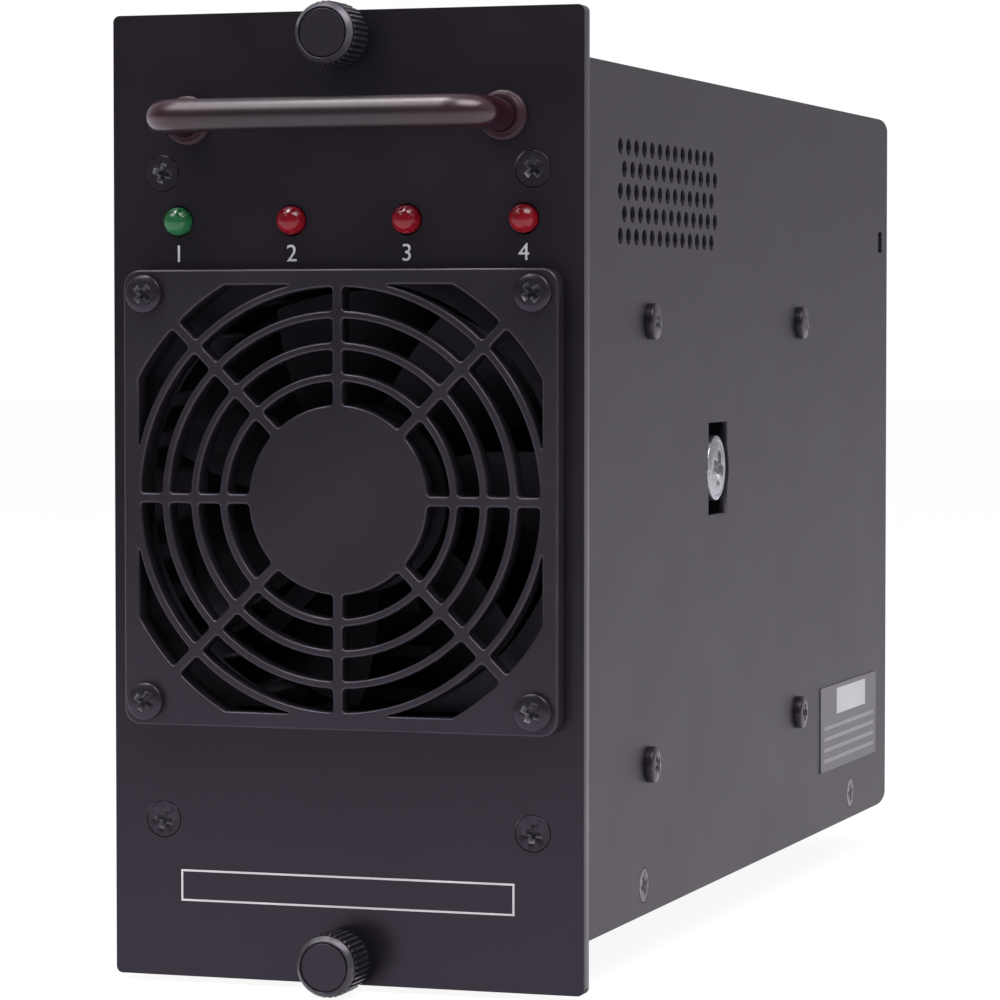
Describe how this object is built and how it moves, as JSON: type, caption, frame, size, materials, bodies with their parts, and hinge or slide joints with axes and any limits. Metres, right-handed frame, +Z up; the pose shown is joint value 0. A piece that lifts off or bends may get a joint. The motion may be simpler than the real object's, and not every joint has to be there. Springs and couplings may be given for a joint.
{
  "type": "rf power amplifier",
  "caption": "Fan-cooled plug-in RF power amplifier: deep narrow case behind a black panel with a round fan guard, bar handle, indicator lamps and captive thumbscrews.",
  "frame": {"origin": "middle of the front panel's rear face, which seats on the rack's rails", "axes": "+X to the right seen from the front, +Y into the case towards its rear, +Z up"},
  "size_m": [0.0874, 0.2656, 0.1714],
  "materials": {
    "black_panel": "black anodised, satin",
    "black_handle": "black anodised with a faint violet cast",
    "black_knob": "black anodised, knurled",
    "black_sheet": "black anodised sheet, satin",
    "plain_aluminium": "plain milled",
    "black_screw": "black oxide",
    "plated_steel": "bright zinc plated",
    "nickel_brass": "nickel plated",
    "gold_brass": "gold plated",
    "copper": "bare copper",
    "black_plastic": "moulded",
    "green_lens": "diffused lens",
    "red_lens": "diffused lens",
    "green_board": "solder mask",
    "cream_board": "bare laminate",
    "ceramic": "ceramic lid",
    "lead_jacket": "soft jacket",
    "label_film": "printed film"
  },
  "bodies": {
    "amplifier": {"front_panel": "black_panel", "panel_screws": "black_screw", "clinch_nuts": "plated_steel", "front_bulkhead": "plain_aluminium", "bulkhead_rivets": "plain_aluminium", "fan_guard": "black_panel", "fan_screws": "black_screw", "fan_nuts": "plated_steel", "fan_frame": "black_plastic", "fan_stator": "copper", "fan_bearings": "plated_steel", "handle_bar": "black_handle", "handle_ferrules": "black_handle", "handle_screws": "plated_steel", "thumbscrew_bushes": "black_knob", "power_led": "green_lens", "alarm_leds": "red_lens", "led_board": "green_board", "led_board_standoffs": "nickel_brass", "led_board_screws": "plated_steel", "chassis_tray": "black_sheet", "side_cover": "black_sheet", "cover_flush_screws": "black_screw", "cover_pan_screws": "black_screw", "label_plate": "label_film", "heat_sink": "plain_aluminium", "heat_sink_screws": "black_screw", "hex_spacers": "nickel_brass", "ground_post": "nickel_brass", "ground_washer": "plated_steel", "ground_screw": "plated_steel", "rf_board": "cream_board", "rf_transistors": "ceramic", "transistor_screws": "plated_steel", "isolator": "plain_aluminium", "isolator_screws": "plated_steel", "control_board": "green_board", "control_parts": "black_plastic", "board_standoffs": "nickel_brass", "control_screws": "plated_steel", "rear_panel": "black_sheet", "rear_panel_screws": "black_screw", "rf_output_connector": "nickel_brass", "rf_input_connector": "gold_brass", "dc_connector": "black_plastic", "alarm_connector": "plated_steel", "connector_screws": "plated_steel", "output_coax": "copper", "input_coax": "copper", "dc_leads": "lead_jacket", "fan_lead": "lead_jacket"},
    "fan_spinner": {"fan_rotor": "black_plastic", "fan_shaft": "plated_steel"},
    "upper_ring": {"upper_retainer": "plated_steel"},
    "upper_thumbscrew": {"upper_knob": "black_knob", "upper_screw": "plated_steel"},
    "lower_ring": {"lower_retainer": "plated_steel"},
    "lower_thumbscrew": {"lower_knob": "black_knob", "lower_screw": "plated_steel"}
  },
  "joints": [
    {"name": "fan_spin", "type": "hinge", "parent": "amplifier", "child": "fan_spinner", "pos_m": [0, 0.014, 0], "axis": [0, 1, 0], "continuous": true},
    {"name": "upper_screw_travel", "type": "slide", "parent": "amplifier", "child": "upper_ring", "axis": [0, -1, 0], "range_m": [0, 0.0048]},
    {"name": "upper_screw_turn", "type": "hinge", "parent": "upper_ring", "child": "upper_thumbscrew", "pos_m": [0, 0, 0.0802], "axis": [0, -1, 0], "range_deg": [0, 2162]},
    {"name": "lower_screw_travel", "type": "slide", "parent": "amplifier", "child": "lower_ring", "axis": [0, -1, 0], "range_m": [0, 0.0048]},
    {"name": "lower_screw_turn", "type": "hinge", "parent": "lower_ring", "child": "lower_thumbscrew", "pos_m": [0, 0, -0.0802], "axis": [0, -1, 0], "range_deg": [0, 2162]}
  ],
  "couplings": [
    {"joint": "upper_screw_turn", "follows": "upper_screw_travel", "rad_per_m": 7854},
    {"joint": "lower_screw_turn", "follows": "lower_screw_travel", "rad_per_m": 7854}
  ]
}
